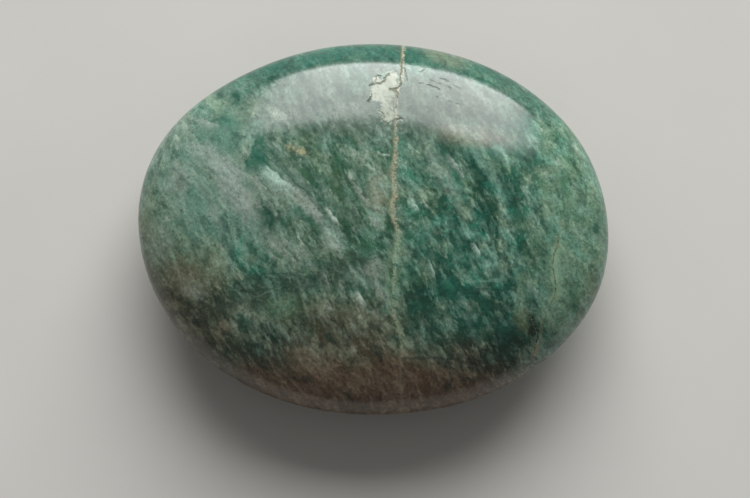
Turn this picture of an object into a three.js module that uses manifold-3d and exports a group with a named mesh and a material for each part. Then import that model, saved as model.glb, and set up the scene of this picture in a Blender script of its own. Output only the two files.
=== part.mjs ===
// A polished amazonite palm stone: one oval, domed pebble of green feldspar, ground and polished
// by hand all over, with a small flat spot ground on its underside so that it lies still.
//
// Units are millimetres and +Z is up. X runs along the oval, Y across it. The origin is under the
// middle of the stone, on the plane that the flat spot rests on.

import * as THREE from "three";
import { mergeVertices } from "three/addons/utils/BufferGeometryUtils.js";
import Module from "manifold-3d";

// Driving dimensions
const LENGTH = 75.0; // the oval's long axis
const WIDTH = 59.7; // the oval's short axis
const CROWN = 11.6; // from the girdle, the widest line round the stone, up to the top of the dome
const BASE = 10.4; // from the girdle down to the flat spot
const FLAT_CUT = 0.35; // how much of the rounded underside the flat spot takes off
const FULLNESS = 0.08; // how much the shoulders stand out past a true ellipsoid, as a share

// Hand grinding leaves the oval a little out of round. Each lobe is a swing of the outline:
// so many times round the stone, so large as a share of the radius, highest at an angle.
const LOBES = [
  { count: 2, swing: 0.0078, peak: -42 },
  { count: 3, swing: 0.0024, peak: 53 },
  { count: 4, swing: 0.0057, peak: -29 },
];

// The face also rolls very slightly, in swells that follow no axis of the stone.
const SWELLS = [
  { along: new THREE.Vector3(0.9, 0.35, 0.2), wavelength: 31, height: 0.07, phase: 0.6 },
  { along: new THREE.Vector3(-0.4, 0.9, 0.15), wavelength: 24, height: 0.06, phase: 2.1 },
  { along: new THREE.Vector3(0.5, 0.6, -0.6), wavelength: 19, height: 0.035, phase: 4.0 },
];

// A small chip in the girdle, where a healed crack runs over the edge.
const CHIP = { place: new THREE.Vector3(25.4, -22.0, 0.6), radius: 2.2, depth: 0.55 };

const FACETS = 19; // cuts along each edge of the icosahedron that the stone is shaped from

// How far out the oval's edge lies at a turn round the stone, as a share of the plain ellipse.
function outOfRound(turn) {
  return LOBES.reduce(
    (sum, lobe) =>
      sum + lobe.swing * Math.cos(lobe.count * (turn - THREE.MathUtils.degToRad(lobe.peak))),
    1,
  );
}

// The swells' height at a point of the surface, in millimetres.
function swellAt(point) {
  return SWELLS.reduce((sum, swell) => {
    const travel = (2 * Math.PI * point.dot(swell.along)) / swell.wavelength;
    return sum + swell.height * Math.sin(travel + swell.phase);
  }, 0);
}

// The chip's depth at a point, deepest at its middle and gone at its radius.
function chipAt(point) {
  const away = Math.min(point.distanceTo(CHIP.place) / CHIP.radius, 1);
  return CHIP.depth * (1 - away * away) ** 2;
}

// The point of the stone's skin that lies in the direction of a point of the unit sphere. The
// girdle is at height zero here.
function skinPoint(direction) {
  const turn = Math.atan2(direction.y, direction.x);
  const level = direction.z;
  const spread = Math.sqrt(Math.max(0, 1 - level * level));
  const girdling = spread * spread;
  const radius = spread * (1 + (outOfRound(turn) - 1) * girdling);
  const height = level > 0 ? CROWN : BASE + FLAT_CUT;
  const point = new THREE.Vector3(
    (LENGTH / 2) * radius * Math.cos(turn),
    (WIDTH / 2) * radius * Math.sin(turn),
    height * level * (1 + FULLNESS * girdling),
  );
  const outwards = new THREE.Vector3(
    point.x / (LENGTH / 2) ** 2,
    point.y / (WIDTH / 2) ** 2,
    point.z / height ** 2,
  ).normalize();
  return point.addScaledVector(outwards, swellAt(point) - chipAt(point));
}

// The whole rounded pebble, before its flat spot is ground, with the girdle at height zero.
function pebble() {
  const sphere = new THREE.IcosahedronGeometry(1, FACETS);
  sphere.deleteAttribute("normal");
  sphere.deleteAttribute("uv");
  const shape = mergeVertices(sphere, 1e-4);
  const places = shape.getAttribute("position");
  const direction = new THREE.Vector3();
  for (let i = 0; i < places.count; i += 1) {
    direction.fromBufferAttribute(places, i).normalize();
    places.setXYZ(i, ...skinPoint(direction).toArray());
  }
  return shape;
}

// The slab that grinding takes away below the flat spot.
function groundAway() {
  const depth = BASE;
  const slab = new THREE.BoxGeometry(LENGTH, WIDTH, depth);
  slab.translate(0, 0, -BASE - depth / 2);
  slab.deleteAttribute("normal");
  slab.deleteAttribute("uv");
  return mergeVertices(slab, 1e-4);
}

const wasm = await Module();
wasm.setup();

// A closed, merged geometry as a solid that can be cut.
function solidOf(geometry) {
  return new wasm.Manifold(
    new wasm.Mesh({
      numProp: 3,
      vertProperties: new Float32Array(geometry.getAttribute("position").array),
      triVerts: new Uint32Array(geometry.index.array),
    }),
  );
}

// A cut solid back as a geometry.
function geometryOf(solid) {
  const mesh = solid.getMesh();
  const geometry = new THREE.BufferGeometry();
  geometry.setAttribute("position", new THREE.BufferAttribute(mesh.vertProperties, mesh.numProp));
  geometry.setIndex(new THREE.BufferAttribute(mesh.triVerts, 1));
  geometry.computeVertexNormals();
  return geometry;
}

const amazonite = new THREE.MeshStandardMaterial({
  color: new THREE.Color("#55786a"),
  roughness: 0.22,
  metalness: 0,
});

const stone = new THREE.Mesh(
  geometryOf(solidOf(pebble()).subtract(solidOf(groundAway()))),
  amazonite,
);
stone.name = "palm_stone";
stone.position.z = BASE; // lifts the flat spot to height zero

const part = new THREE.Group();
part.add(stone);

export default part;
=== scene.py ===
import math

import bmesh
import bpy
import numpy as np
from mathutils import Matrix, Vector, noise


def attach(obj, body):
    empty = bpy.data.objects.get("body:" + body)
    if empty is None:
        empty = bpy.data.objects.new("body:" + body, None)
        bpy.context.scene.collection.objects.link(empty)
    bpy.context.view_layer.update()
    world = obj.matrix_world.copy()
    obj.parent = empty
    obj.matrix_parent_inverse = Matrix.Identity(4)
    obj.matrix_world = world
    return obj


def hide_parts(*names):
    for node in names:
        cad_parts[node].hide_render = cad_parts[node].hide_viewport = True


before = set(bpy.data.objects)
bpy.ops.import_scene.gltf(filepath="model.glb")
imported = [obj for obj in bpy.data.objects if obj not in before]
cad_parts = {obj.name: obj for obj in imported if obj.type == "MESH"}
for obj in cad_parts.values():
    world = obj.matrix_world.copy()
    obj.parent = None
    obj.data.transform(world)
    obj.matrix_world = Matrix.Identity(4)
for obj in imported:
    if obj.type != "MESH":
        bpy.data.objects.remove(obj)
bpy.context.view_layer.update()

# A polished amazonite palm stone. Places on the stone are in millimetres: x along the oval, y
# across it, and z up from the girdle, which is the widest line round the stone.

MM = 0.001

# The stone's form, the same as the frame's own
LENGTH = 75.0
WIDTH = 59.7
CROWN = 11.6
BASE = 10.4
FLAT_CUT = 0.35
FULLNESS = 0.08

# How high above the flat spot its border starts to round over
FLAT_EASE = 0.05

# The last polish takes this much off the whole face
POLISHED_OFF = 0.02

# How fine the ball is that the stone is shaped from, and how near the marks it is made finer
BALL_FINENESS = 7
FINER_WITHIN = (1.0, 0.5, 0.2)

# Lobes of the outline: times round the stone, swing as a share of the radius, angle of the peak
LOBES = ((2, 0.0078, -42.0), (3, 0.0024, 53.0), (4, 0.0057, -29.0))

# Swells of the face: direction, wavelength, height, phase
SWELLS = (
    ((0.9, 0.35, 0.2), 31.0, 0.07, 0.6),
    ((-0.4, 0.9, 0.15), 24.0, 0.06, 2.1),
    ((0.5, 0.6, -0.6), 19.0, 0.035, 4.0),
)

# The chip in the girdle: place, radius, depth
CHIP = ((25.4, -22.0, 0.6), 2.2, 0.55)

# The markings are sheets that run through the stone, leaning back from upright by this much
LEAN = math.radians(7.0)

# Marks cut into the face: the route on the face, the half width, the depth, and how dark it is
FISSURE = (
    (((4.5, 26.9), (4.4, 25.2), (4.2, 23.9), (4.2, 22.6)), 0.15, 0.1, 0.7),
    (((4.2, 22.6), (3.8, 22.0), (3.0, 22.0)), 0.15, 0.08, 0.65),
    (((4.9, 25.4), (5.1, 24.2), (5.3, 23.3)), 0.13, 0.06, 0.5),
)
PATCH_PITS = (
    (((-0.6, 22.5), (0.0, 22.7), (1.0, 22.8), (1.6, 23.0)), 0.18, 0.1, 0.7),
    (((1.6, 23.0), (1.8, 23.8), (2.4, 24.3)), 0.2, 0.08, 0.65),
    (((0.0, 22.7), (0.4, 23.4), (0.4, 23.8)), 0.14, 0.08, 0.55),
    (((0.6, 24.1), (1.1, 24.0)), 0.15, 0.08, 0.6),
    (((2.6, 21.9), (3.1, 21.6), (3.4, 21.9)), 0.2, 0.1, 0.65),
    (((3.1, 21.6), (3.7, 21.2), (3.6, 20.5)), 0.2, 0.08, 0.65),
    (((-0.4, 20.9), (-0.6, 20.3), (-0.9, 19.8)), 0.16, 0.09, 0.6),
    (((-0.4, 20.9), (-0.3, 21.6)), 0.1, 0.05, 0.4),
    (((0.8, 18.4), (1.5, 17.9), (1.6, 17.3), (1.2, 16.8)), 0.15, 0.04, 0.5),
    (((3.4, 16.3), (3.4, 16.9), (4.0, 17.1), (4.4, 17.0)), 0.17, 0.04, 0.55),
    (((3.6, 20.5), (3.4, 18.8)), 0.1, 0.05, 0.45),
)
SCRATCHES = (
    (((7.2, 24.7), (7.7, 24.9), (8.0, 25.1)), 0.08, 0.04, 0.6),
    (((7.2, 22.8), (7.8, 22.9)), 0.09, 0.05, 0.5),
    (((8.5, 22.6), (9.3, 22.4), (10.5, 21.8)), 0.09, 0.04, 0.6),
    (((8.9, 23.5), (9.7, 23.0)), 0.08, 0.03, 0.45),
    (((10.5, 23.6), (11.2, 23.5), (11.8, 23.1)), 0.08, 0.04, 0.5),
    (((11.5, 22.5), (12.3, 22.0)), 0.08, 0.03, 0.5),
    (((12.6, 22.5), (13.2, 22.3), (13.7, 21.9)), 0.08, 0.03, 0.45),
    (((10.2, 22.9), (11.2, 22.5)), 0.08, 0.03, 0.45),
    (((11.8, 20.0), (12.7, 19.7), (13.6, 19.4)), 0.09, 0.03, 0.55),
    (((9.8, 20.7), (10.1, 20.6)), 0.09, 0.04, 0.5),
    (((-21.6, 1.3), (-21.5, 1.3)), 0.13, 0.06, 0.9),
    (((24.0, 21.8), (24.3, 21.7)), 0.1, 0.05, 0.7),
    (((-27.7, 17.4), (-27.6, 17.4)), 0.1, 0.04, 0.6),
    (((-0.6, 1.7), (-0.5, 1.7)), 0.09, 0.04, 0.6),
)
CRACK = (
    (((24.8, -14.0), (25.2, -15.3), (25.7, -16.2), (25.8, -17.3), (25.5, -18.0)), 0.18, 0.16, 1.0),
    (((25.3, -20.3), (25.6, -20.5)), 0.22, 0.12, 0.85),
)
MARKS = (*FISSURE, *PATCH_PITS, *SCRATCHES, *CRACK)

# How the edge of a mark strays, as a scale and a size: it wanders, in millimetres, and is ragged,
# in half widths. No mark goes farther than its half width and this reach, or below this height.
MARK_WANDER = (2.1, 0.15)
MARK_RAGGEDNESS = (4.6, 0.8)
MARK_REACH = 0.6
LOWEST_MARK = -2.0

# The seed that the wander starts from, so that it is the same each time
WANDER_SEED = 5


# -------- the stone's form


def swells(points):
    """The height of the swells at points of the face."""
    total = np.zeros(len(points))
    for along, wavelength, height, phase in SWELLS:
        total += height * np.sin(2.0 * np.pi * points @ np.array(along) / wavelength + phase)
    return total


def chip(points):
    """The chip's depth at points of the face."""
    place, radius, depth = CHIP
    away = np.minimum(np.linalg.norm(points - np.array(place), axis=1) / radius, 1.0)
    return depth * (1.0 - away**2) ** 2


def skin(directions):
    """The points of the face in these directions of the unit sphere, and the way out of each."""
    turn = np.arctan2(directions[:, 1], directions[:, 0])
    level = directions[:, 2]
    spread = np.sqrt(np.clip(1.0 - level**2, 0.0, None))
    girdling = spread**2
    lobed = sum(swing * np.cos(count * (turn - math.radians(peak))) for count, swing, peak in LOBES)
    radius = spread * (1.0 + lobed * girdling)
    height = np.where(level > 0.0, CROWN, BASE + FLAT_CUT)
    points = np.stack(
        (
            LENGTH / 2.0 * radius * np.cos(turn),
            WIDTH / 2.0 * radius * np.sin(turn),
            height * level * (1.0 + FULLNESS * girdling),
        ),
        axis=1,
    )
    half_length = np.full(len(turn), LENGTH / 2.0)
    half_width = np.full(len(turn), WIDTH / 2.0)
    outwards = points / np.stack((half_length, half_width, height), axis=1) ** 2
    outwards /= np.linalg.norm(outwards, axis=1, keepdims=True)
    lift = swells(points) - chip(points) - POLISHED_OFF
    return points + outwards * lift[:, None], outwards


def on_the_face(points):
    """Where points lie across the face, along the lean of the markings."""
    across = points[:, 1] * math.cos(LEAN) + points[:, 2] * math.sin(LEAN)
    return np.stack((points[:, 0], across), axis=1)


def away_from(route, places):
    """How far places on the face lie from a route of straight stretches."""
    nearest = np.full(len(places), np.inf)
    for start, end in zip(route[:-1], route[1:]):
        start = np.array(start)
        stretch = np.array(end) - start
        share = np.clip((places - start) @ stretch / (stretch @ stretch), 0.0, 1.0)
        across = places - start - share[:, None] * stretch
        nearest = np.minimum(nearest, np.linalg.norm(across, axis=1))
    return nearest


def near_marks(points, margin):
    """Which points of the upper face lie within a margin of a mark."""
    places = on_the_face(points)
    near = np.zeros(len(points), bool)
    for route, half_width, _, _ in MARKS:
        near |= away_from(route, places) < half_width + margin
    return near & (points[:, 2] > LOWEST_MARK)


def carved(points):
    """How deep the marks go at each point, and how dark the dirt in them is."""
    places = on_the_face(points)
    noise.seed_set(WANDER_SEED)
    scale, size = MARK_WANDER
    wander = np.array([noise.noise_vector(Vector(p) * scale) for p in points])[:, :2] * size
    scale, size = MARK_RAGGEDNESS
    ragged = np.array([noise.noise(Vector(p) * scale) for p in points]) * size
    depth = np.zeros(len(points))
    dirt = np.zeros(len(points))
    for route, half_width, full_depth, darkness in MARKS:
        away = away_from(route, places + wander) / half_width + ragged
        mark = np.clip(1.0 - np.clip(away, 0.0, 1.0) ** 2, 0.0, 1.0)
        depth = np.maximum(depth, mark * full_depth)
        dirt = np.maximum(dirt, mark * darkness)
    return depth, dirt


def ground_flat(heights):
    """Heights over the flat spot: nothing lies below it, and its border is polished round."""
    softened = (heights + FLAT_EASE) ** 2 / (4.0 * FLAT_EASE)
    return np.where(heights > FLAT_EASE, heights, np.where(heights < -FLAT_EASE, 0.0, softened))


def vertex_places(mesh):
    """The places of a mesh's vertices, one row each."""
    places = np.empty(len(mesh.vertices) * 3)
    mesh.vertices.foreach_get("co", places)
    return places.reshape(-1, 3)


def refine_near_marks(stone):
    """Makes the ball's faces finer where the marks are cut."""
    bpy.ops.object.mode_set(mode="EDIT")
    bpy.ops.mesh.select_mode(type="FACE")
    for margin in FINER_WITHIN:
        ball = bmesh.from_edit_mesh(stone.data)
        centres = np.array([face.calc_center_median().normalized() for face in ball.faces])
        points, _ = skin(centres)
        chosen = near_marks(points, margin)
        for face, pick in zip(ball.faces, chosen):
            face.select_set(bool(pick))
        bmesh.update_edit_mesh(stone.data)
        bpy.ops.mesh.subdivide(number_cuts=1)
    bpy.ops.object.mode_set(mode="OBJECT")


def shape_stone():
    """The whole stone: a fine ball brought to the oval, its marks cut and its flat spot ground."""
    bpy.ops.object.select_all(action="DESELECT")
    bpy.ops.mesh.primitive_ico_sphere_add(subdivisions=BALL_FINENESS, radius=1.0)
    stone = bpy.context.object
    stone.name = "polished_stone"
    refine_near_marks(stone)

    directions = vertex_places(stone.data)
    directions /= np.linalg.norm(directions, axis=1, keepdims=True)
    points, outwards = skin(directions)
    close = near_marks(points, MARK_REACH)
    depth = np.zeros(len(points))
    dirt = np.zeros(len(points))
    depth[close], dirt[close] = carved(points[close])
    points -= outwards * depth[:, None]
    points[:, 2] = ground_flat(points[:, 2] + BASE)
    stone.data.vertices.foreach_set("co", (points * MM).ravel())
    dirt_in_marks = stone.data.attributes.new("dirt", "FLOAT", "POINT")
    dirt_in_marks.data.foreach_set("value", dirt.astype(np.float32))
    stone.data.update()
    bpy.ops.object.shade_smooth()
    return stone


# -------- nodes


def colour(code):
    """A colour from its six-figure code, as the linear values that shaders use."""
    shares = [int(code[i : i + 2], 16) / 255.0 for i in (0, 2, 4)]
    linear = [s / 12.92 if s <= 0.04045 else ((s + 0.055) / 1.055) ** 2.4 for s in shares]
    return (*linear, 1.0)


AXES = {"x": (1.0, 0.0, 0.0), "y": (0.0, 1.0, 0.0), "z": (0.0, 0.0, 1.0)}


class Net:
    """Adds nodes to one tree. Each call gives back the socket that later nodes read."""

    def __init__(self, tree):
        self.tree = tree

    def add(self, kind, inputs=None, **settings):
        node = self.tree.nodes.new(kind)
        for name, value in settings.items():
            setattr(node, name, value)
        for name, value in (inputs or {}).items():
            self.feed(node.inputs[name], value)
        return node

    def feed(self, socket, value):
        if isinstance(value, bpy.types.NodeSocket):
            self.tree.links.new(value, socket)
        else:
            socket.default_value = value

    def math(self, operation, a, b=0.0, c=0.0):
        node = self.add("ShaderNodeMath", {0: a, 1: b, 2: c}, operation=operation)
        return node.outputs[0]

    def less(self, a, b):
        return self.math("SUBTRACT", a, b)

    def over(self, a, b):
        return self.math("DIVIDE", a, b)

    def times(self, *values):
        product = values[0]
        for value in values[1:]:
            product = self.math("MULTIPLY", product, value)
        return product

    def plus(self, *values):
        total = values[0]
        for value in values[1:]:
            total = self.math("ADD", total, value)
        return total

    def most(self, *values):
        highest = values[0]
        for value in values[1:]:
            highest = self.math("MAXIMUM", highest, value)
        return highest

    def swing(self, value, gain):
        """A noise value turned into a swing about zero."""
        return self.math("MULTIPLY_ADD", value, gain, -0.5 * gain)

    def without(self, mask, share=1.0):
        """What is left of one when this share of a mask is taken off."""
        return self.plus(1.0, self.times(mask, -share))

    def vector(self, operation, a, b):
        node = self.add("ShaderNodeVectorMath", {0: a, 1: b}, operation=operation)
        return node.outputs["Value" if operation == "DOT_PRODUCT" else "Vector"]

    def part(self, place, axis):
        """One part of a place: its x, y or z."""
        return self.vector("DOT_PRODUCT", place, AXES[axis])

    def turned(self, place, heading):
        """How far a place lies along a heading, given in degrees, and across it to the left."""
        angle = self.math("MULTIPLY", heading, math.pi / 180.0)
        cosine = self.math("COSINE", angle)
        sine = self.math("SINE", angle)
        along = self.joined(cosine, sine, 0.0)
        across = self.joined(self.math("MULTIPLY", sine, -1.0), cosine, 0.0)
        return self.vector("DOT_PRODUCT", place, along), self.vector("DOT_PRODUCT", place, across)

    def joined(self, x, y, z):
        return self.add("ShaderNodeCombineXYZ", {0: x, 1: y, 2: z}).outputs[0]

    def step(self, value, low, high, bottom=0.0, top=1.0, smooth=True):
        node = self.add(
            "ShaderNodeMapRange",
            {"Value": value, "From Min": low, "From Max": high, "To Min": bottom, "To Max": top},
            interpolation_type="SMOOTHSTEP" if smooth else "LINEAR",
            clamp=not smooth,
        )
        return node.outputs["Result"]

    def ramp(self, value, low, high, bottom=0.0, top=1.0):
        return self.step(value, low, high, bottom, top, smooth=False)

    def mix(self, share, a, b, blend="MIX"):
        node = self.add("ShaderNodeMix", data_type="RGBA", blend_type=blend)
        self.feed(node.inputs[0], share)
        self.feed(node.inputs[6], a)
        self.feed(node.inputs[7], b)
        return node.outputs[2]

    def noise(self, place, scale, detail=2.0, roughness=0.5, output=0):
        node = self.add(
            "ShaderNodeTexNoise",
            {"Vector": place, "Scale": scale, "Detail": detail, "Roughness": roughness},
        )
        return node.outputs[output]

    def shaken(self, place, scale, reach, detail=1.0):
        """A place moved about by a noise, as far as the reach in all."""
        clouds = self.noise(place, scale, detail, output="Color")
        shake = self.vector("SUBTRACT", clouds, (0.5, 0.5, 0.5))
        shift = self.add("ShaderNodeVectorMath", {0: shake, "Scale": reach}, operation="SCALE")
        return self.vector("ADD", place, shift.outputs[0])

    def drawn_curve(self, value, points):
        """A smooth curve through points, each a pair of the value and the result there."""
        starts = [point[0] for point in points]
        results = [point[1] for point in points]
        low, high = min(results), max(results)
        node = self.add("ShaderNodeFloatCurve", {"Value": self.ramp(value, starts[0], starts[-1])})
        curve = node.mapping.curves[0]
        places = [
            ((start - starts[0]) / (starts[-1] - starts[0]), (result - low) / (high - low))
            for start, result in points
        ]
        curve.points[0].location = places[0]
        curve.points[1].location = places[-1]
        for place in places[1:-1]:
            curve.points.new(*place)
        node.mapping.update()
        return self.math("MULTIPLY_ADD", node.outputs[0], high - low, low)

    def group(self, tree, *values):
        """Places a node group, with a value for each of its inputs in their order."""
        node = self.add("ShaderNodeGroup", node_tree=tree)
        for socket, value in zip(node.inputs, values, strict=True):
            self.feed(socket, value)
        return node.outputs


def new_group(name, places, numbers, outputs=("Mask",)):
    """An empty shader node group: its tree, its net, what is given to it and what leaves it."""
    tree = bpy.data.node_groups.new(name, "ShaderNodeTree")
    sockets = [(label, "INPUT", "NodeSocketVector") for label in places]
    sockets += [(label, "INPUT", "NodeSocketFloat") for label in numbers]
    sockets += [(label, "OUTPUT", "NodeSocketFloat") for label in outputs]
    for label, side, kind in sockets:
        tree.interface.new_socket(name=label, in_out=side, socket_type=kind)
    net = Net(tree)
    entry = net.add("NodeGroupInput")
    leave = net.add("NodeGroupOutput")
    return tree, net, entry.outputs, leave.inputs


def from_start(net, given, start):
    """How far a group's place lies from a start, along its heading and across it."""
    centred = net.vector("SUBTRACT", given["Place"], given[start])
    return net.turned(centred, given["Heading"])


def along_grain(net, given):
    """How far a group's place lies along the grain, across it and up."""
    x, y = net.turned(given["Place"], net.times(given["Dip"], -1.0))
    return x, y, net.part(given["Place"], "z")


def soft_spot_group():
    """A soft-edged oval column through the stone."""
    tree, net, given, leave = new_group(
        "Soft spot", ("Place", "Middle"), ("Reach along", "Reach across", "Heading", "Edge")
    )
    x, y = from_start(net, given, "Middle")
    along = net.over(x, given["Reach along"])
    across = net.over(y, given["Reach across"])
    away = net.math("SQRT", net.math("MULTIPLY_ADD", along, along, net.times(across, across)))
    inner = net.less(1.0, given["Edge"])
    outer = net.math("ADD", 1.0, given["Edge"])
    net.feed(leave["Mask"], net.step(away, inner, outer, 1.0, 0.0))
    return tree


def grain_group():
    """Noise drawn out along the grain of the feldspar."""
    numbers = ("Dip", "Length", "Width", "Detail", "Roughness", "Shift")
    tree, net, given, leave = new_group("Drawn-out grain", ("Place",), numbers, ("Value",))
    x, y, z = along_grain(net, given)
    stretched = net.joined(
        net.over(x, given["Length"]),
        net.over(y, given["Width"]),
        net.plus(net.over(z, given["Length"]), given["Shift"]),
    )
    net.feed(leave["Value"], net.noise(stretched, 1.0, given["Detail"], given["Roughness"]))
    return tree


def flakes_group():
    """Pale flakes along the grain, soft on the lower left and crisp on the upper right side.

    Line is a fine dark cleavage line outside the crisp side, and Relief swings from below zero on
    the lower left of each flake to above zero on its upper right.
    """
    numbers = ("Dip", "Length", "Width", "Roughness", "Shift", "Level")
    outputs = ("Mask", "Line", "Relief")
    tree, net, given, leave = new_group("Cleavage flakes", ("Place",), numbers, outputs)
    x, y, z = along_grain(net, given)
    across = net.over(y, given["Width"])
    along = net.over(x, given["Length"])
    deep = net.plus(net.over(z, given["Length"]), given["Shift"])
    here = net.noise(net.joined(along, across, deep), 1.0, 3.0, given["Roughness"])
    farther = net.joined(along, net.plus(across, 0.22), deep)
    beyond = net.noise(farther, 1.0, 3.0, given["Roughness"])
    relief = net.less(here, beyond)
    softness = net.ramp(relief, -0.05, 0.04, 0.17, 0.02)
    edge = net.less(here, given["Level"])
    mask = net.step(edge, 0.0, softness)
    brightening = net.ramp(relief, -0.04, 0.08, 0.55, 1.0)
    near_edge = net.math("ABSOLUTE", net.plus(edge, 0.014))
    line = net.times(net.step(near_edge, 0.0, 0.018, 1.0, 0.0), net.step(relief, 0.015, 0.05))
    net.feed(leave["Mask"], net.times(mask, brightening))
    net.feed(leave["Line"], line)
    net.feed(leave["Relief"], relief)
    return tree


def steps_group():
    """Many cleavage steps side by side: each brightens to its upper right side, then drops."""
    numbers = ("Dip", "Spacing", "Length", "Share", "Shift", "Slow", "Quick")
    tree, net, given, leave = new_group("Cleavage steps", ("Place",), numbers)
    x, y, z = along_grain(net, given)
    wander = net.plus(net.swing(given["Slow"], 2.4), net.swing(given["Quick"], 0.5))
    level = net.plus(net.over(y, given["Spacing"]), wander)
    rise = net.math("FRACT", level)
    number = net.math("FLOOR", level)
    where = net.joined(
        net.over(x, given["Length"]),
        net.math("MULTIPLY_ADD", number, 3.7, given["Shift"]),
        net.over(z, given["Length"]),
    )
    chosen = net.step(net.noise(where, 1.0, 1.0), given["Share"], net.plus(given["Share"], 0.12))
    brightening = net.times(net.math("POWER", rise, 1.6), net.step(rise, 0.94, 1.0, 1.0, 0.0))
    net.feed(leave["Mask"], net.times(brightening, chosen))
    return tree


def face_group():
    """One bright face of a cleavage step: crisp along its upper right side, fading to the other."""
    tree, net, given, leave = new_group(
        "Cleavage face", ("Place", "Tip"), ("Heading", "Length", "Width")
    )
    x, y = from_start(net, given, "Tip")
    along = net.over(x, given["Length"])
    across = net.over(y, net.times(given["Width"], -1.0))
    crisp = net.step(across, -0.04, 0.1)
    fading = net.step(across, 0.1, 1.05, 1.0, 0.0)
    starting = net.step(along, -0.05, 0.3)
    ending = net.step(along, 0.7, 1.05, 1.0, 0.0)
    net.feed(leave["Mask"], net.times(crisp, fading, starting, ending))
    return tree


def seam_group():
    """A thin, bowed sheet through the stone, of a limited length."""
    tree, net, given, leave = new_group(
        "Healed seam", ("Place", "Middle"), ("Heading", "Half length", "Bow", "Half width")
    )
    x, y = from_start(net, given, "Middle")
    away = net.math("ABSOLUTE", net.less(y, net.times(x, x, given["Bow"])))
    across = net.step(away, net.times(given["Half width"], 0.3), given["Half width"], 1.0, 0.0)
    past = net.less(net.math("ABSOLUTE", x), given["Half length"])
    net.feed(leave["Mask"], net.times(across, net.step(past, -1.0, 0.3, 1.0, 0.0)))
    return tree


# -------- the stone's finish

DEEP_TEAL = colour("174235")
TEAL = colour("2b5c4a")
BRIGHT_TEAL = colour("2a7a63")
SEA_TEAL = colour("4d7b6b")
MILKY_TEAL_AND_REFLECTION = colour("5c7c6b")
WEDGE_TEAL = colour("245c4a")
BACKLIT_RIM_TEAL = colour("035546")
OLIVE_GREEN = colour("456045")
LEAF_GREEN = colour("4e765c")
GREY_GREEN = colour("45594b")
SEAM_GREEN = colour("37483c")
MOSS = colour("687657")
EARTH = colour("4f4a38")
FOOT_EARTH_AND_REFLECTION = colour("604836")
GREY_MILK = colour("909d90")
TEAL_MILK = colour("7aa391")
GREEN_MILK = colour("839e85")
BRIGHT_MILK = colour("a9b8a8")
LILAC_MILK_AND_REFLECTION = colour("93a097")
ICE_MILK = colour("a6c2b2")
EARTH_MILK = colour("8c866e")
FOOT_MILK_AND_REFLECTION = colour("87745f")
TAN = colour("8a866a")
PALE_TAN = colour("aeaa8f")
PINK_TAN = colour("9c8d78")
RUST = colour("806d47")
VEIN_GREEN = colour("8eab8c")
VEIN_SHADE = colour("3c4730")
CREAM = colour("a5ac9a")
CREAM_SHADE = colour("8f9884")
OCHRE = colour("a8a37e")
CRACK_SHADE = colour("16231b")
DIRT = colour("5a5a45")

FELDSPAR_IOR = 1.53

# Zones of the stone: middle, reach along and across, turn, and how soft the border is
ZONES = {
    # The milky part on the left is partly the stone's milky feldspar and partly a painted
    # reflection of light from the left.
    "milky with reflection": (-27.5, 10.5, 12.5, 14.5, 25.0, 0.45),
    "sea": (-27.0, 0.5, 8.0, 5.0, -10.0, 0.5),
    "flecked": (-7.0, 4.0, 13.0, 12.5, -20.0, 0.5),
    "capped": (2.0, 20.5, 22.0, 6.5, -4.0, 0.35),
    "deepest": (14.0, -14.5, 10.0, 6.5, -8.0, 0.3),
    "pale side": (37.0, 2.0, 11.5, 24.0, 0.0, 0.35),
    "left edge": (-36.5, -4.0, 6.5, 9.0, 10.0, 0.4),
    "moss": (-26.5, -7.0, 4.5, 3.0, -10.0, 0.5),
    "brown left": (-30.5, -16.0, 11.0, 9.5, -38.0, 0.75),
    "brown middle": (-4.5, -16.0, 10.0, 5.0, 6.0, 0.6),
    # The foot along the near edge is partly the stone's own brown and partly a painted warm
    # reflection.
    "foot": (-1.0, -31.5, 34.0, 12.5, 0.0, 0.35),
    "dark seam": (-14.5, -9.2, 15.0, 2.2, 16.0, 0.5),
    "dark hollow": (-16.0, -16.5, 4.0, 3.0, 0.0, 0.6),
    "dark corner": (18.5, -20.0, 7.5, 4.0, 18.0, 0.6),
}

# The clear teal rim at the far side, painted as light shining through the thin rim from the
# softbox behind: between which y it comes in, and which heights bound it
RIM_BEYOND = (16.0, 27.0)
RIM_BELOW = (4.2, 1.8)
RIM_ABOVE = (-5.0, 0.0)

# The colours of the zones' feldspar, laid one over the other, and the share of each. The milky,
# rim and foot tones are partly painted light, as noted at each.
ZONE_TONES = (
    ("flecked", 0.6, OLIVE_GREEN),
    ("deepest", 0.6, DEEP_TEAL),
    # The milky part's pale teal is partly a painted reflection.
    ("milky with reflection", 0.6, MILKY_TEAL_AND_REFLECTION),
    ("sea", 0.7, SEA_TEAL),
    ("pale side", 0.7, LEAF_GREEN),
    ("left edge", 0.6, MOSS),
    ("capped", 0.75, GREY_GREEN),
    # The rim's clear teal is painted light shining through the thin far rim.
    ("backlit rim", 0.8, BACKLIT_RIM_TEAL),
    ("moss", 0.4, MOSS),
    ("brown left", 0.85, EARTH),
    ("brown middle", 0.75, EARTH),
    # The foot's brown is partly a painted warm reflection along the near edge.
    ("foot", 0.9, FOOT_EARTH_AND_REFLECTION),
    ("dark seam", 0.65, SEAM_GREEN),
    ("dark hollow", 0.5, CRACK_SHADE),
    ("dark corner", 0.6, CRACK_SHADE),
)

# What the zones add to the strength of the flecks, to the milky haze and to the milk's greyness
# In the milky part the paler haze, calmer flecks and greyer milk are partly painted reflection.
STIR = {"milky with reflection": -0.3, "capped": -0.5, "pale side": -0.28, "dark seam": -0.4}
HAZE = {
    "milky with reflection": 0.24, "flecked": 0.08, "pale side": 0.12,
    "deepest": -0.12, "dark seam": -0.1, "dark corner": -0.15,
}
GREYNESS = {"milky with reflection": 0.5, "flecked": 0.5, "capped": 0.6}

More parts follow.
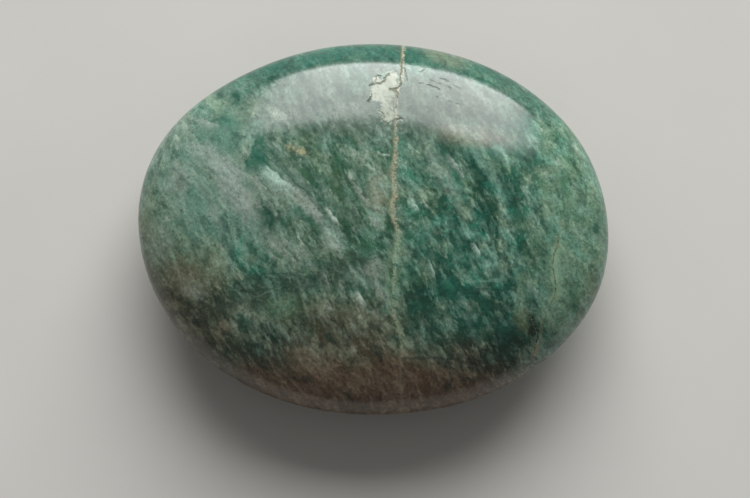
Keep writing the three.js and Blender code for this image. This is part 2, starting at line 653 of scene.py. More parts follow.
# Smaller soft tints: middle, reach along and across, turn, colour, strength
TINT_EDGE = 0.5
TINTS = (
    (-21.0, -3.6, 1.0, 2.2, 0.0, BRIGHT_TEAL, 0.7),
    (-28.6, 19.6, 1.6, 1.6, 30.0, BRIGHT_TEAL, 0.6),
    (-10.5, 3.0, 3.0, 2.0, -50.0, SEA_TEAL, 0.35),
    (0.5, 5.5, 1.6, 3.6, 0.0, PINK_TAN, 0.4),
    (11.5, 27.5, 3.8, 1.7, -20.0, TAN, 0.35),
    (-7.5, 4.6, 2.4, 1.4, -60.0, TEAL, 0.5),
    (-3.5, 0.5, 2.4, 1.6, -60.0, DEEP_TEAL, 0.5),
    (-15.5, 1.0, 1.6, 2.8, 20.0, DEEP_TEAL, 0.5),
    (14.5, -8.2, 3.2, 0.9, 4.0, BRIGHT_TEAL, 0.5),
    (27.5, 5.6, 1.6, 4.6, -8.0, MOSS, 0.45),
    (33.0, 7.5, 1.8, 4.0, 20.0, MOSS, 0.3),
    (34.5, -8.5, 1.3, 4.2, 10.0, MOSS, 0.5),
    (3.4, -7.0, 3.2, 2.8, 0.0, LEAF_GREEN, 0.4),
    (23.4, -13.6, 1.5, 3.0, 6.0, MOSS, 0.5),
    (24.9, -12.6, 0.8, 2.9, -4.0, CRACK_SHADE, 0.65),
    (25.0, -16.6, 0.7, 1.7, 10.0, CRACK_SHADE, 0.85),
    (-23.7, -15.8, 0.7, 1.6, -20.0, EARTH_MILK, 0.6),
    (7.5, 11.0, 1.8, 2.6, 0.0, DEEP_TEAL, 0.45),
    (25.5, 3.0, 0.9, 2.6, 20.0, DEEP_TEAL, 0.55),
    (23.0, -4.6, 2.4, 1.6, 0.0, DEEP_TEAL, 0.4),
)

# Soft bands and veils along the grain: middle, half length, half width, heading, colour, strength
BAND_EDGE = 0.6
BANDS = (
    # The lilac and grey veils on the left are partly a painted reflection of light from the left.
    (-22.4, 6.4, 6.0, 1.6, -60.0, LILAC_MILK_AND_REFLECTION, 0.65),
    (-25.6, 3.6, 4.2, 0.8, -64.0, GREY_MILK, 0.4),
    (-27.0, 12.2, 4.0, 1.0, -14.0, LILAC_MILK_AND_REFLECTION, 0.5),
    (-25.6, 20.0, 2.6, 1.0, -38.0, GREEN_MILK, 0.45),
    (-23.0, 14.6, 2.2, 3.4, 0.0, SEA_TEAL, 0.55),
    (-26.2, 15.8, 2.0, 1.7, -20.0, MILKY_TEAL_AND_REFLECTION, 0.6),
    (-27.6, 4.2, 2.0, 2.6, -20.0, SEA_TEAL, 0.5),
    (-19.0, 3.0, 3.6, 0.9, -62.0, GREY_MILK, 0.45),
    (-10.4, 3.9, 5.0, 1.15, -42.0, GREY_MILK, 0.65),
    (-6.3, -1.4, 2.6, 1.3, -52.0, ICE_MILK, 0.55),
    (-14.5, -2.6, 3.8, 1.0, -14.0, GREY_MILK, 0.3),
    (-7.4, 2.0, 2.6, 0.8, -55.0, TEAL, 0.5),
    (-8.8, 7.0, 3.4, 0.7, -62.0, DEEP_TEAL, 0.45),
    (-12.2, 7.4, 4.2, 0.6, -50.0, DEEP_TEAL, 0.5),
    (-17.0, 1.8, 3.0, 1.1, -66.0, DEEP_TEAL, 0.55),
    (-1.6, 6.8, 3.4, 0.6, -64.0, DEEP_TEAL, 0.5),
    (10.5, 9.0, 5.0, 1.2, -62.0, GREY_MILK, 0.4),
    (13.6, 3.4, 3.0, 0.9, -62.0, GREEN_MILK, 0.3),
    (14.6, 9.8, 4.0, 0.8, -62.0, DEEP_TEAL, 0.45),
    (18.0, 9.0, 5.0, 0.9, -60.0, TEAL_MILK, 0.3),
    (21.2, 6.2, 5.4, 0.9, -62.0, DEEP_TEAL, 0.5),
    (13.2, -1.4, 4.0, 1.0, -66.0, DEEP_TEAL, 0.5),
    (7.6, -2.0, 3.6, 1.4, -70.0, TEAL, 0.45),
    (-12.5, -4.6, 3.6, 1.4, -20.0, GREY_MILK, 0.3),
    (0.0, -6.6, 1.8, 1.8, 0.0, GREY_MILK, 0.45),
    (1.2, -10.2, 2.2, 0.8, -58.0, GREY_MILK, 0.45),
    (-28.2, -9.9, 1.9, 1.2, -30.0, GREY_MILK, 0.4),
    (-7.2, 8.9, 2.6, 0.8, -62.0, GREEN_MILK, 0.35),
    (29.2, -7.0, 5.0, 1.8, -86.0, GREEN_MILK, 0.4),
    (28.6, -14.4, 3.6, 2.0, -64.0, GREEN_MILK, 0.42),
    (26.2, -15.6, 1.8, 0.25, -88.0, TAN, 0.5),
    (25.4, -19.2, 1.3, 0.4, -106.0, TAN, 0.9),
    (18.8, -7.0, 1.8, 1.0, -60.0, TEAL_MILK, 0.35),
    (-33.6, -2.8, 3.8, 2.0, -75.0, GREY_MILK, 0.4),
    (-29.6, -7.4, 2.8, 2.2, -60.0, EARTH_MILK, 0.35),
    (-25.4, -4.8, 2.6, 2.0, -60.0, GREEN_MILK, 0.25),
    (-30.6, 7.6, 1.7, 2.1, 0.0, GREY_MILK, 0.5),
    (-14.3, -12.6, 3.0, 2.2, 0.0, MOSS, 0.45),
    (15.3, 14.4, 5.5, 1.5, -6.0, PINK_TAN, 0.3),
    (13.0, 19.5, 7.0, 3.2, -10.0, EARTH, 0.14),
)

# Cleavage faces, crisp along one side, a few on the left partly painted reflection and highlight:
# where each starts, heading, length, width, colour, strength
CLEAVAGE_FACES_AND_REFLECTIONS = (
    (-17.5, 10.6, -41.0, 7.4, 2.5, ICE_MILK, 0.85),
    (-17.3, 10.3, -41.0, 4.4, 2.6, ICE_MILK, 0.6),
    # The lilac faces on the left are partly a painted reflection of light from the left.
    (-24.0, 11.8, -41.0, 6.4, 3.0, LILAC_MILK_AND_REFLECTION, 0.7),
    (-28.2, 17.9, -24.0, 4.8, 1.6, LILAC_MILK_AND_REFLECTION, 0.55),
    (-26.6, 21.6, -40.0, 3.6, 1.6, GREEN_MILK, 0.5),
    # The bright face at -15.7, 19.4 is partly a pale plate and partly a painted highlight, a
    # brighter mound in the left end of the softbox's reflection.
    (-15.7, 19.4, -38.0, 3.4, 2.0, BRIGHT_MILK, 0.45),
    (-19.4, 6.4, -56.0, 4.2, 1.2, GREY_MILK, 0.55),
    (-22.6, 9.6, -62.0, 7.5, 1.0, LILAC_MILK_AND_REFLECTION, 0.45),
    (-16.2, 4.4, -58.0, 3.4, 1.0, GREY_MILK, 0.45),
    (-10.2, 4.8, -50.0, 4.4, 2.0, GREY_MILK, 0.8),
    (-7.5, 3.7, -52.0, 4.0, 0.9, BRIGHT_MILK, 0.95),
    (-7.6, -0.3, -48.0, 4.4, 1.5, GREY_MILK, 0.6),
    (-12.0, -0.4, -58.0, 2.9, 0.7, BRIGHT_MILK, 0.85),
    (-12.6, -4.4, -60.0, 1.6, 0.7, BRIGHT_MILK, 0.7),
    (-16.4, -3.2, -50.0, 2.2, 0.8, GREY_MILK, 0.6),
    (-4.4, 9.2, -55.0, 7.2, 1.1, GREY_MILK, 0.7),
    (-9.2, 11.5, -63.0, 3.2, 1.2, GREEN_MILK, 0.55),
    (-3.0, 3.6, -60.0, 2.6, 0.7, GREY_MILK, 0.5),
    (-0.7, 2.2, -40.0, 3.4, 1.2, LILAC_MILK_AND_REFLECTION, 0.65),
    (-2.9, -0.9, -62.0, 2.2, 0.6, TEAL_MILK, 0.55),
    (0.6, 12.1, -22.0, 2.2, 0.6, BRIGHT_MILK, 0.8),
    (-7.9, -6.4, -66.0, 3.8, 1.0, GREY_MILK, 0.65),
    (-5.3, -7.7, -68.0, 4.0, 0.8, GREY_MILK, 0.6),
    (-7.4, -10.8, -58.0, 2.4, 1.1, BRIGHT_MILK, 0.6),
    (-2.6, -9.6, -57.0, 3.4, 1.6, BRIGHT_MILK, 0.9),
    (-32.1, -2.4, -66.0, 3.6, 0.9, GREEN_MILK, 0.6),
    (-24.1, -1.9, -62.0, 2.2, 0.9, GREY_MILK, 0.5),
    (-31.6, 14.9, -30.0, 1.2, 1.0, BRIGHT_MILK, 0.6),
    (-31.5, 10.8, -30.0, 1.2, 1.2, GREY_MILK, 0.6),
    (-32.8, 2.2, -40.0, 1.2, 1.1, BRIGHT_MILK, 0.6),
    (-35.2, 3.4, -60.0, 1.4, 1.1, GREEN_MILK, 0.6),
    (-26.2, -7.9, -40.0, 1.4, 1.2, GREY_MILK, 0.55),
    (11.6, 12.0, -56.0, 5.2, 1.2, LILAC_MILK_AND_REFLECTION, 0.7),
    (19.2, 13.8, -51.0, 5.2, 1.8, TEAL_MILK, 0.65),
    (25.2, 17.2, -56.0, 3.2, 1.0, TEAL_MILK, 0.5),
    (5.6, 5.2, -55.0, 3.2, 1.3, ICE_MILK, 0.65),
    (7.4, 4.8, -50.0, 2.2, 0.8, BRIGHT_MILK, 0.6),
    (14.8, 9.0, -62.0, 2.4, 0.7, TEAL_MILK, 0.5),
    (19.6, 4.4, -62.0, 3.0, 0.9, GREEN_MILK, 0.5),
    (15.6, -2.0, -62.0, 2.8, 1.0, ICE_MILK, 0.9),
    (11.6, -1.4, -66.0, 2.0, 0.6, TEAL_MILK, 0.6),
    (8.6, -4.8, -68.0, 3.6, 1.0, ICE_MILK, 0.65),
    (10.4, -6.0, -64.0, 2.4, 0.7, TEAL_MILK, 0.6),
    (5.8, -1.6, -66.0, 2.0, 0.7, TEAL_MILK, 0.6),
    (18.4, -2.4, -60.0, 2.6, 1.1, TEAL_MILK, 0.6),
    (22.7, -10.2, -70.0, 2.8, 0.8, GREEN_MILK, 0.65),
    (28.6, 10.6, -60.0, 2.0, 1.4, GREEN_MILK, 0.4),
    (7.4, -16.2, -58.0, 2.6, 1.0, TEAL_MILK, 0.4),
    (10.2, -18.2, -50.0, 2.4, 1.0, GREEN_MILK, 0.4),
    (18.0, -19.0, -60.0, 2.6, 1.0, TEAL_MILK, 0.4),
)

# The dark wedge between two cleavage faces, where the painted reflection on the left breaks off:
# its apex, and the ways in from its sides and its foot
WEDGE_APEX = (-17.9, 15.9, 0.0)
WEDGE_FROM_LEFT = (0.938, -0.348, 0.0)
WEDGE_FROM_RIGHT = (-0.956, -0.293, 0.0)
WEDGE_FROM_FOOT = (0.1, 1.0, 0.0)

# Healed cracks, and one painted edge of the reflection along the foot: middle, heading, half
# length, bow, half width, strength and colour
HEALED_CRACKS_AND_REFLECTION_EDGE = (
    (-27.2, -11.9, 38.0, 2.3, 0.0, 0.2, 0.6, CRACK_SHADE),
    (-18.3, -9.8, 6.0, 5.4, 0.02, 0.16, 0.4, DEEP_TEAL),
    (-12.8, -7.2, -6.0, 4.8, -0.03, 0.18, 0.55, DEEP_TEAL),
    (0.8, -4.6, 12.0, 3.6, 0.0, 0.18, 0.5, DEEP_TEAL),
    (15.0, -9.6, 5.0, 6.4, -0.02, 0.22, 0.55, DEEP_TEAL),
    (-4.1, -16.3, -66.0, 1.9, 0.0, 0.2, 0.6, CRACK_SHADE),
    (3.0, -14.5, -80.0, 2.4, 0.0, 0.16, 0.5, CRACK_SHADE),
    (-13.4, 8.2, -41.0, 5.6, 0.0, 0.12, 0.6, DEEP_TEAL),
    (-4.0, 7.4, -64.0, 2.2, 0.0, 0.16, 0.6, DEEP_TEAL),
    (-16.9, 6.6, -48.0, 2.2, 0.0, 0.12, 0.5, DEEP_TEAL),
    (29.9, 2.6, -85.0, 4.4, 0.0, 0.2, 0.45, GREY_GREEN),
    (-16.6, -10.0, 22.0, 2.8, 0.0, 0.15, 0.28, GREEN_MILK),
    (17.2, -8.2, 4.0, 3.2, 0.0, 0.35, 0.35, TEAL_MILK),
    (13.0, 13.7, -10.0, 1.9, 0.0, 0.16, 0.35, GREEN_MILK),
    (-9.8, 9.9, -66.0, 2.0, 0.0, 0.14, 0.3, GREEN_MILK),
    # The line at 11.5, -20.4 is no healed crack: it is the painted crisp upper edge of the warm
    # reflection along the foot.
    (11.5, -20.4, -7.0, 7.5, -0.02, 0.3, 0.5, CRACK_SHADE),
)

# The course of the main vein, of its half width, and of the side vein: each from low to high y
VEIN_COURSE = (
    (-34.0, 4.6), (-24.6, 4.3), (-17.7, 4.2), (-14.6, 3.5), (-11.4, 2.9), (-8.2, 3.1), (-3.4, 3.3),
    (-1.5, 3.7), (1.0, 3.2), (3.7, 2.8), (5.3, 3.15), (8.5, 3.05), (11.7, 3.35), (16.5, 3.4),
    (20.4, 3.5), (22.5, 3.95), (25.2, 4.45), (28.4, 4.65), (34.0, 4.9),
)
VEIN_HALF_WIDTH = (
    (-34.0, 0.22), (-20.0, 0.25), (-17.0, 0.34), (-12.0, 0.32), (-6.0, 0.34), (-1.5, 0.32),
    (2.0, 0.34), (8.0, 0.38), (13.0, 0.3), (17.0, 0.2), (20.5, 0.18), (22.5, 0.24), (28.0, 0.22),
    (34.0, 0.2),
)
SIDE_VEIN_COURSE = (
    (-14.0, 27.0), (-11.8, 27.75), (-9.3, 28.5), (-7.4, 28.25), (-5.3, 28.05), (-2.6, 28.8),
    (-1.0, 29.1), (3.0, 29.6), (6.0, 30.0),
)

# Stretches of y over which the main vein turns green, turns pale and grows faint, downwards, and
# over which the side vein comes in, upwards, goes out, and has a green border
VEIN_TURNS_GREEN = (1.0, -3.0)
VEIN_TURNS_PALE = (-10.0, -14.0)
VEIN_GROWS_FAINT = (-18.0, -21.0)
SIDE_VEIN_COMES_IN = (-13.0, -11.0)
SIDE_VEIN_GOES_OUT = (4.5, -1.0)
SIDE_BORDER_BELOW = (-1.0, -4.0)

# Spots: middle, reach along and across, turn, and how soft the border is. The cream patch is made
# of a head, a horn and a crumb, and of a fainter tail.
OCHRE_SPOT = (-12.0, 12.2, 1.7, 0.6, -18.0, 0.7)
CREAM_PARTS = (
    (1.5, 21.4, 2.1, 1.9, 0.0, 0.35),
    (2.8, 23.3, 1.0, 1.5, 0.0, 0.4),
    (0.6, 23.2, 0.8, 0.7, 0.0, 0.4),
)
CREAM_TAIL = (2.2, 18.4, 1.2, 2.3, 6.0, 0.5)


class StoneNet(Net):
    """The stone's own net: places on it in millimetres, its grain, and the groups it draws with."""

    def __init__(self, tree):
        super().__init__(tree)
        self.spots = soft_spot_group()
        self.grains = grain_group()
        self.flakes = flakes_group()
        self.steps = steps_group()
        self.faces = face_group()
        self.seams = seam_group()

        raw = self.add("ShaderNodeTexCoord").outputs["Object"]
        lowered = self.vector("SUBTRACT", raw, (0.0, 0.0, BASE * MM))
        mapping = self.add("ShaderNodeMapping", {"Vector": lowered, "Rotation": (-LEAN, 0.0, 0.0)})
        mapping.inputs["Scale"].default_value = (1.0 / MM, 1.0 / MM, 1.0 / MM)
        self.still = mapping.outputs[0]
        self.place = self.shaken(self.still, 0.07, 3.0)
        self.frayed = self.shaken(self.still, 0.9, 1.1, 3.0)
        self.torn = self.shaken(self.shaken(self.still, 0.16, 7.0, 2.0), 0.8, 2.6, 3.0)

        # The grain, from wide to fine: dip, length, width, detail, roughness, shift
        self.bands = self.grain(42.0, 20.0, 6.5, 2.0, 0.5, 0.0)
        self.coarse = self.grain(52.0, 8.0, 3.8, 3.0, 0.5, 7.0)
        self.blotches = self.grain(57.0, 4.0, 1.9, 5.0, 0.62, 53.0)
        self.flecks = self.grain(60.0, 1.8, 0.85, 4.0, 0.62, 29.0)
        self.fibres = self.grain(60.0, 1.1, 0.5, 3.0, 0.65, 31.0)

        # Noise of no direction: place, scale, detail, roughness
        self.clouds = self.noise(self.place, 0.14, 3.0, 0.55)
        self.grit = self.noise(self.still, 1.6, 5.0, 0.75)
        self.specks = self.noise(self.still, 2.4, 2.0, 0.6)
        self.slow = self.noise(self.place, 0.13, 2.0)
        self.quick = self.noise(self.place, 1.1, 2.0)

        # How much of the bands and cleavage faces the flecks let through
        self.ragged = self.step(self.flecks, 0.34, 0.54, 0.45, 1.0)

    def grain(self, dip, length, width, detail, roughness, shift):
        numbers = (dip, length, width, detail, roughness, shift)
        return self.group(self.grains, self.place, *numbers)["Value"]

    def stepped(self, dip, spacing, length, share, shift):
        numbers = (dip, spacing, length, share, shift, self.slow, self.quick)
        return self.group(self.steps, self.place, *numbers)["Mask"]

    def spot(self, place, x, y, reach_along, reach_across, heading, edge):
        numbers = (reach_along, reach_across, heading, edge)
        return self.group(self.spots, place, (x, y, 0.0), *numbers)["Mask"]

    def shares(self, zones, table):
        """The masks of the zones in a table, each times its share."""
        return [self.times(zones[name], share) for name, share in table.items()]


def body_colour(net, zones, tints):
    """The colour of the feldspar between its pale flecks."""
    depth = net.plus(net.swing(net.coarse, 1.1), net.swing(net.clouds, 0.5), 0.5)
    body = net.mix(net.step(depth, 0.3, 0.7), DEEP_TEAL, TEAL)
    body = net.mix(net.times(net.step(tints, 0.5, 0.68), 0.6), body, BRIGHT_TEAL)
    body = net.mix(net.times(net.step(tints, 0.5, 0.34), 0.45), body, OLIVE_GREEN)
    for name, share, tone in ZONE_TONES:
        body = net.mix(net.times(zones[name], share), body, tone)
    return body


def pale_share(net, zones, fleck, crystal_shade):
    """How much of the surface is milky: haze, flakes, flecks and cleavage steps."""
    wide = net.stepped(44.0, 5.0, 9.0, 0.52, 0.0)
    middling = net.stepped(57.0, 2.6, 4.0, 0.54, 11.0)
    stir = net.plus(1.0, *net.shares(zones, STIR))
    zone_haze = net.shares(zones, HAZE)
    haze = net.plus(0.13, *zone_haze, net.swing(net.bands, 0.5), net.swing(crystal_shade, 0.12))
    flecks = net.plus(
        net.swing(net.coarse, 0.5),
        net.swing(net.blotches, 1.95),
        net.swing(net.flecks, 1.3),
        net.times(fleck["Mask"], 0.3),
        net.times(wide, 0.24),
        net.times(middling, 0.3),
        net.swing(net.fibres, 0.1),
    )
    pale = net.plus(haze, net.times(flecks, stir))
    # Less milk on the far rim, as part of the painted light shining through it.
    pale = net.times(pale, net.without(zones["backlit rim"], 0.75))
    return net.ramp(pale, 0.0, 1.0)


def milk_colour(net, zones, tints, brown):
    """The colour of the pale flecks."""
    greyer = net.plus(*net.shares(zones, GREYNESS), net.swing(net.clouds, 1.2))
    milk = net.mix(net.step(tints, 0.4, 0.6), GREEN_MILK, TEAL_MILK)
    milk = net.mix(net.ramp(greyer, 0.0, 1.0), milk, GREY_MILK)
    milk = net.mix(net.times(net.step(net.blotches, 0.55, 0.75), 0.6), milk, BRIGHT_MILK)
    milk = net.mix(net.times(brown, 0.85), milk, EARTH_MILK)
    # Along the foot the milk is warmed, partly as a painted reflection.
    return net.mix(net.times(zones["foot"], 0.8), milk, FOOT_MILK_AND_REFLECTION)


def with_wedge(net, base):
    """Adds the dark wedge between two cleavage faces, a gap in the painted reflection on the left.
    """
    from_apex = net.vector("SUBTRACT", net.frayed, WEDGE_APEX)
    left_side = net.vector("DOT_PRODUCT", from_apex, WEDGE_FROM_LEFT)
    right_side = net.vector("DOT_PRODUCT", from_apex, WEDGE_FROM_RIGHT)
    foot = net.vector("DOT_PRODUCT", from_apex, WEDGE_FROM_FOOT)
    wedge = net.times(net.step(left_side, -0.1, 0.2), net.step(right_side, -0.2, 0.4))
    wedge = net.times(wedge, net.step(foot, -8.0, -6.0))
    strength = net.times(wedge, net.ramp(net.flecks, 0.35, 0.65, 1.0, 0.6))
    return net.mix(strength, base, WEDGE_TEAL)


def with_bands_and_faces(net, base):
    """Adds the soft bands and the crisp cleavage faces that are large enough to have a place, some
    of them on the left partly painted reflection.
    """
    for x, y, half_length, half_width, heading, tone, strength in BANDS:
        band = net.spot(net.frayed, x, y, half_length, half_width, heading, BAND_EDGE)
        base = net.mix(net.times(band, net.ragged, strength), base, tone)
    base = with_wedge(net, base)
    for x, y, heading, length, width, tone, strength in CLEAVAGE_FACES_AND_REFLECTIONS:
        face = net.group(net.faces, net.frayed, (x, y, 0.0), heading, length, width)["Mask"]
        base = net.mix(net.times(face, net.ragged, strength), base, tone)
    return base


def with_healed_cracks_and_reflection_edge(net, base):
    """Adds the fine dark and pale lines of the healed cracks, and the painted edge of the
    reflection along the foot.
    """
    broken = net.step(net.grit, 0.38, 0.52, 0.45, 1.0)
    for x, y, heading, half_length, bow, half_width, strength, tone in HEALED_CRACKS_AND_REFLECTION_EDGE:
        numbers = (heading, half_length, bow, half_width)
        line = net.group(net.seams, net.frayed, (x, y, 0.0), *numbers)["Mask"]
        base = net.mix(net.times(line, broken, strength), base, tone)
    return base


def with_veins(net, base):
    """Adds the main vein, tan above and pale green below, and the fine one at the side."""
    x = net.part(net.still, "x")
    y = net.part(net.still, "y")
    crumbs = net.noise(net.still, 2.6, 4.0, 0.7)
    wander = net.plus(net.swing(crumbs, 1.5), net.swing(net.quick, 0.5))
    side = net.less(x, net.plus(net.drawn_curve(y, VEIN_COURSE), wander))
    away = net.math("ABSOLUTE", side)
    lumps = net.ramp(net.quick, 0.35, 0.65, 0.6, 1.5)
    half_width = net.times(net.drawn_curve(y, VEIN_HALF_WIDTH), lumps)
    core = net.step(away, 0.0, net.times(half_width, 1.9), 1.0, 0.0)
    low = net.step(y, *VEIN_TURNS_GREEN)
    lowest = net.step(y, *VEIN_TURNS_PALE)
    foot = net.step(y, *VEIN_GROWS_FAINT)
    shade_width = net.times(half_width, 3.2)
    shade = net.times(net.step(away, half_width, shade_width, 1.0, 0.0), net.step(side, 0.2, -0.2))
    shade = net.times(shade, net.step(net.blotches, 0.42, 0.6), net.without(foot))
    base = net.mix(net.times(shade, 0.65), base, VEIN_SHADE)
    glow = net.step(away, 0.3, 2.2, 1.0, 0.0)
    glow = net.times(glow, low, net.step(net.flecks, 0.44, 0.62), net.without(foot))
    base = net.mix(net.times(glow, 0.35), base, VEIN_GREEN)
    tone = net.mix(net.step(crumbs, 0.42, 0.58), TAN, PALE_TAN)
    tone = net.mix(net.times(net.step(net.quick, 0.5, 0.62), 0.25), tone, PINK_TAN)
    tone = net.mix(net.times(low, net.step(net.slow, 0.35, 0.55, 0.7, 1.0)), tone, VEIN_GREEN)
    tone = net.mix(net.times(lowest, net.step(net.quick, 0.35, 0.6, 0.3, 0.9)), tone, PALE_TAN)
    tan_solid = net.times(net.step(crumbs, 0.38, 0.56, 0.3, 1.0), net.less(1.0, low))
    green_solid = net.times(net.step(crumbs, 0.43, 0.58, 0.05, 0.9), low)
    solid = net.times(net.plus(tan_solid, green_solid), net.without(foot, 0.7))
    base = net.mix(net.times(core, solid, 0.9), base, tone)

    course = net.plus(net.drawn_curve(y, SIDE_VEIN_COURSE), net.times(wander, 0.3))
    beside = net.less(x, course)
    reach = net.times(net.step(y, *SIDE_VEIN_COMES_IN), net.step(y, *SIDE_VEIN_GOES_OUT))
    frayed_side = net.plus(beside, net.swing(net.blotches, 3.0))
    band = net.times(net.step(frayed_side, -0.9, -0.2), net.step(frayed_side, 0.5, 1.4, 1.0, 0.0))
    band = net.times(band, net.step(y, *SIDE_BORDER_BELOW), net.step(crumbs, 0.35, 0.6, 0.3, 0.9))
    base = net.mix(net.times(band, reach, 0.6), base, VEIN_GREEN)
    line = net.step(net.math("ABSOLUTE", beside), 0.03, 0.2, 1.0, 0.0)
    rust = net.mix(net.step(net.quick, 0.42, 0.58), VEIN_SHADE, RUST)
    return net.mix(net.times(line, reach, net.step(crumbs, 0.38, 0.6, 0.15, 0.95)), base, rust)


def cream_patch(net):
    """Where the cream patch beside the vein lies, with crumbling edges."""
    torn = net.shaken(net.still, 1.3, 1.6, 4.0)
    parts = [net.spot(torn, *part) for part in CREAM_PARTS]
    tail = net.spot(torn, *CREAM_TAIL)
    whole = net.most(*parts, net.times(tail, 0.75))
    return net.step(net.plus(whole, net.swing(net.grit, 2.4)), 0.28, 0.95)


def crystal_shades(net):
    """Small crystals side by side, each a little paler or darker than the next."""
    x, y = net.turned(net.frayed, -57.0)
    z = net.part(net.frayed, "z")
    place = net.joined(net.times(x, 0.3), net.times(y, 0.62), net.times(z, 0.4))
    crystals = net.add("ShaderNodeTexVoronoi", {"Vector": place, "Scale": 1.0})
    return net.part(crystals.outputs["Color"], "x")


def with_light_and_shade(net, base, zones, fleck):
    """Adds fine light and shade: the relief of the flakes, grain, specks and cleavage lines."""
    relief = net.times(fleck["Relief"], 0.8)
    salt = net.times(net.step(net.specks, 0.6, 0.7), 0.35)
    # Less grit in the milky part, whose veil is partly painted reflection.
    sandy = net.times(net.swing(net.grit, 2.1), net.without(zones["milky with reflection"], 0.4))
    shade = net.plus(1.0, relief, net.swing(net.fibres, 0.15), sandy, salt)
    lines = net.times(fleck["Line"], 0.25)
    pepper = net.times(net.step(net.specks, 0.4, 0.3), 0.4)
    darker = net.plus(1.0, net.times(lines, -1.0), net.times(pepper, -1.0))
    return net.mix(1.0, base, net.times(shade, darker), "MULTIPLY")


def polish(net, patch, dirt):
    """The polish, with fine streaks of the last buffing, duller on the patch and in the marks."""
    drawn_out = net.vector("MULTIPLY", net.still, (2.2, 0.22, 2.2))
    buffing = net.noise(drawn_out, 1.0, 4.0, 0.7)
    roughness = net.plus(
        net.ramp(net.clouds, 0.3, 0.7, 0.12, 0.17),
        net.swing(buffing, 0.12),
        net.times(patch, 0.12),
        net.times(dirt, 0.4),
    )
    height = net.plus(net.times(net.fibres, 0.3), net.times(net.grit, 0.2), net.times(buffing, 0.5))
    bump = net.add("ShaderNodeBump", {"Strength": 0.15, "Distance": 0.06 * MM, "Height": height})
    return roughness, bump.outputs[0]


def amazonite():
    """Deep teal feldspar with pale flecks along its grain, milky and brown parts, and its veins.

    The milky left part and the brown foot are partly painted reflections, and the clear far rim is
    painted light shining through it.
    """
    material = bpy.data.materials.new("amazonite")
    material.use_nodes = True
    tree = material.node_tree
    tree.nodes.clear()
    net = StoneNet(tree)

    zones = {name: net.spot(net.torn, *zone) for name, zone in ZONES.items()}
    # The far rim, painted as light shining through it from the softbox behind.
    far_side = net.step(net.part(net.still, "y"), *RIM_BEYOND)
    height = net.part(net.frayed, "z")
    zones["backlit rim"] = net.times(far_side, net.step(height, *RIM_BELOW), net.step(height, *RIM_ABOVE))
    # The brown mask takes in the foot, whose brown is partly a painted reflection.
    brown = net.most(zones["brown left"], zones["foot"], net.times(zones["brown middle"], 0.65))
    tints = net.noise(net.vector("ADD", net.place, (40.0, 0.0, 0.0)), 0.3, 3.0, 0.6)

    crowding = net.plus(
        net.swing(net.bands, 0.35),
        net.swing(net.clouds, 0.25),
        net.times(zones["deepest"], -0.05),
    )
    level = net.less(0.54, crowding)
    fleck = net.group(net.flakes, net.place, 58.0, 3.0, 1.6, 0.55, 19.0, level)
    gap_grain = net.grain(58.0, 3.0, 1.9, 4.0, 0.6, 71.0)
    gaps = net.step(net.plus(gap_grain, net.times(crowding, 0.5)), 0.47, 0.35)
    crystal_shade = crystal_shades(net)

    body = body_colour(net, zones, tints)
    for x, y, reach_along, reach_across, heading, tone, strength in TINTS:
        tint = net.spot(net.frayed, x, y, reach_along, reach_across, heading, TINT_EDGE)
        body = net.mix(net.times(tint, strength), body, tone)
    gap_strength = net.times(gaps, 0.65)
    gap_colour = net.mix(net.times(brown, 0.8), DEEP_TEAL, CRACK_SHADE)
    body = net.mix(gap_strength, body, gap_colour)
    pale = pale_share(net, zones, fleck, crystal_shade)
    pale = net.times(pale, net.without(gaps, 0.6))
    base = net.mix(pale, body, milk_colour(net, zones, tints, brown))
    base = with_bands_and_faces(net, base)
    base = with_light_and_shade(net, base, zones, fleck)

    ochre = net.spot(net.frayed, *OCHRE_SPOT)
    base = net.mix(net.times(ochre, net.step(net.grit, 0.44, 0.6, 0.1, 0.9)), base, OCHRE)
    base = with_healed_cracks_and_reflection_edge(net, base)
    base = with_veins(net, base)
    patch = cream_patch(net)
    mottled = net.mix(net.step(net.blotches, 0.42, 0.58), CREAM, CREAM_SHADE)
    base = net.mix(net.times(patch, net.step(net.grit, 0.36, 0.52, 0.6, 0.97)), base, mottled)
    dirt = net.add("ShaderNodeAttribute", attribute_name="dirt").outputs["Fac"]
    dirt_colour = net.mix(net.step(dirt, 0.75, 0.95), DIRT, CRACK_SHADE)
    base = net.mix(net.ramp(dirt, 0.0, 1.0, 0.0, 0.95), base, dirt_colour)

    roughness, normal = polish(net, patch, dirt)
    shader = net.add(
        "ShaderNodeBsdfPrincipled",
        {"Base Color": base, "Roughness": roughness, "IOR": FELDSPAR_IOR, "Normal": normal},
    )
    output = net.add("ShaderNodeOutputMaterial")
    tree.links.new(shader.outputs[0], output.inputs["Surface"])
    return material


# -------- floor, lights and camera

PLASTER = colour("cfcdc8")
PLASTER_SHADE = colour("c8c6c1")
FLOOR_SIZE = 6.0

# How bright the room is all round, beside the softbox
ROOM_LIGHT = 0.18


def plain_floor():
    """A plain pale plaster floor that the stone lies on."""
    bpy.ops.object.select_all(action="DESELECT")
    bpy.ops.mesh.primitive_plane_add(size=FLOOR_SIZE)
    floor = bpy.context.object
    floor.name = "floor"
    material = bpy.data.materials.new("pale_plaster")
    material.use_nodes = True
    net = Net(material.node_tree)
    shader = material.node_tree.nodes["Principled BSDF"]
    place = net.add("ShaderNodeTexCoord").outputs["Object"]
    tone = net.mix(net.noise(place, 40.0, 3.0), PLASTER, PLASTER_SHADE)
    net.feed(shader.inputs["Base Color"], tone)
    shader.inputs["Roughness"].default_value = 1.0
    shader.inputs["Specular IOR Level"].default_value = 0.0
    floor.data.materials.append(material)


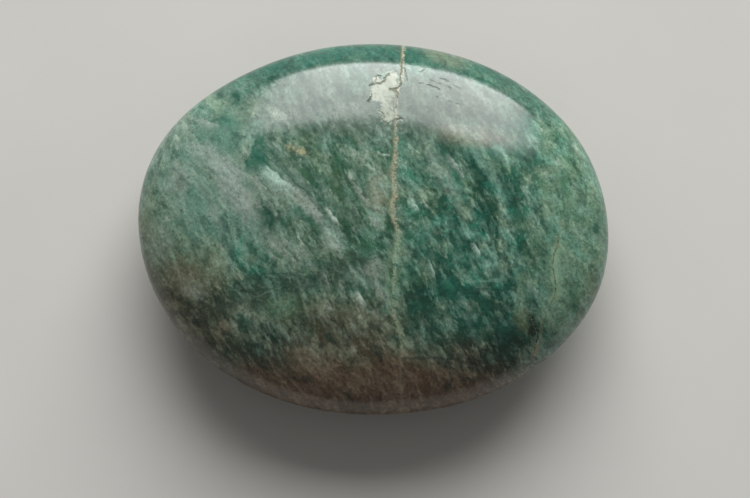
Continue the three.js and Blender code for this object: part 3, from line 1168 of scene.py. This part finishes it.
def place_light(name, toward, elevation, distance, size, radiance, aim):
    """A flat lamp that faces its aim. toward is its compass angle from +Y round to +X."""
    light = bpy.data.lights.new(name, "AREA")
    light.shape = "RECTANGLE"
    light.size, light.size_y = size
    light.energy = radiance * math.pi * size[0] * size[1]
    lamp = bpy.data.objects.new(name, light)
    bpy.context.scene.collection.objects.link(lamp)
    turn = math.radians(toward)
    rise = math.radians(elevation)
    way = Vector((math.cos(rise) * math.sin(turn), math.cos(rise) * math.cos(turn), math.sin(rise)))
    lamp.location = Vector(aim) + way * distance
    lamp.rotation_euler = way.to_track_quat("Z", "Y").to_euler()
    return lamp


def fade_softbox(lamp):
    """Makes a softbox brightest along one long edge, dimmer to its ends, and dark in one corner."""
    lamp.data.use_nodes = True
    net = Net(lamp.data.node_tree)
    emission = lamp.data.node_tree.nodes["Emission"]
    parametric = net.add("ShaderNodeNewGeometry").outputs["Parametric"]
    height = net.part(parametric, "y")
    upward = net.ramp(height, 0.0, 1.0, 0.95, 0.55)
    edge = net.step(height, 0.12, 0.02, 0.0, 0.5)
    across = net.part(parametric, "x")
    one_end = net.ramp(across, 0.0, 0.2, 0.5, 1.0)
    other_end = net.ramp(across, 1.0, 0.82, 0.5, 1.0)
    sideways = net.times(one_end, other_end)
    slant = net.math("MULTIPLY_ADD", across, -1.2, height)
    corner = net.ramp(slant, 0.66, 0.82, 1.0, 0.0)
    net.feed(emission.inputs["Strength"], net.times(net.plus(upward, edge), sideways, corner))


def soft_lights():
    """One large softbox behind the stone, in an evenly lit room."""
    softbox = place_light(
        "softbox",
        toward=8.0,
        elevation=34.0,
        distance=1.24,
        size=(1.415, 0.988),
        radiance=9.0,
        aim=(-0.003, -0.0204, 0.0034),
    )
    fade_softbox(softbox)
    world = bpy.context.scene.world or bpy.data.worlds.new("room")
    bpy.context.scene.world = world
    world.use_nodes = True
    background = world.node_tree.nodes["Background"]
    background.inputs["Color"].default_value = (ROOM_LIGHT, ROOM_LIGHT, ROOM_LIGHT, 1.0)


# The picture: how wide a view it takes at the girdle, from how far, and where it is aimed
VIEW_WIDTH = 119.3 * MM
VIEW_DISTANCE = 500.0 * MM
SENSOR = 36.0
AIM = (0.2 * MM, -3.3 * MM, BASE * MM)


def front_camera():
    """Looks down on the stone, leaning back as its markings do."""
    camera = bpy.data.cameras.new("camera")
    camera.sensor_width = SENSOR
    camera.lens = SENSOR * VIEW_DISTANCE / VIEW_WIDTH
    camera.clip_start = 0.01
    holder = bpy.data.objects.new("camera", camera)
    bpy.context.scene.collection.objects.link(holder)
    holder.rotation_euler = (LEAN, 0.0, 0.0)
    holder.location = Vector(AIM) + VIEW_DISTANCE * Vector((0.0, -math.sin(LEAN), math.cos(LEAN)))
    bpy.context.scene.camera = holder
    bpy.context.scene.view_settings.view_transform = "Standard"


front_camera()
soft_lights()
plain_floor()
stone = shape_stone()
stone.data.materials.append(amazonite())
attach(stone, "root")
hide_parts("palm_stone")
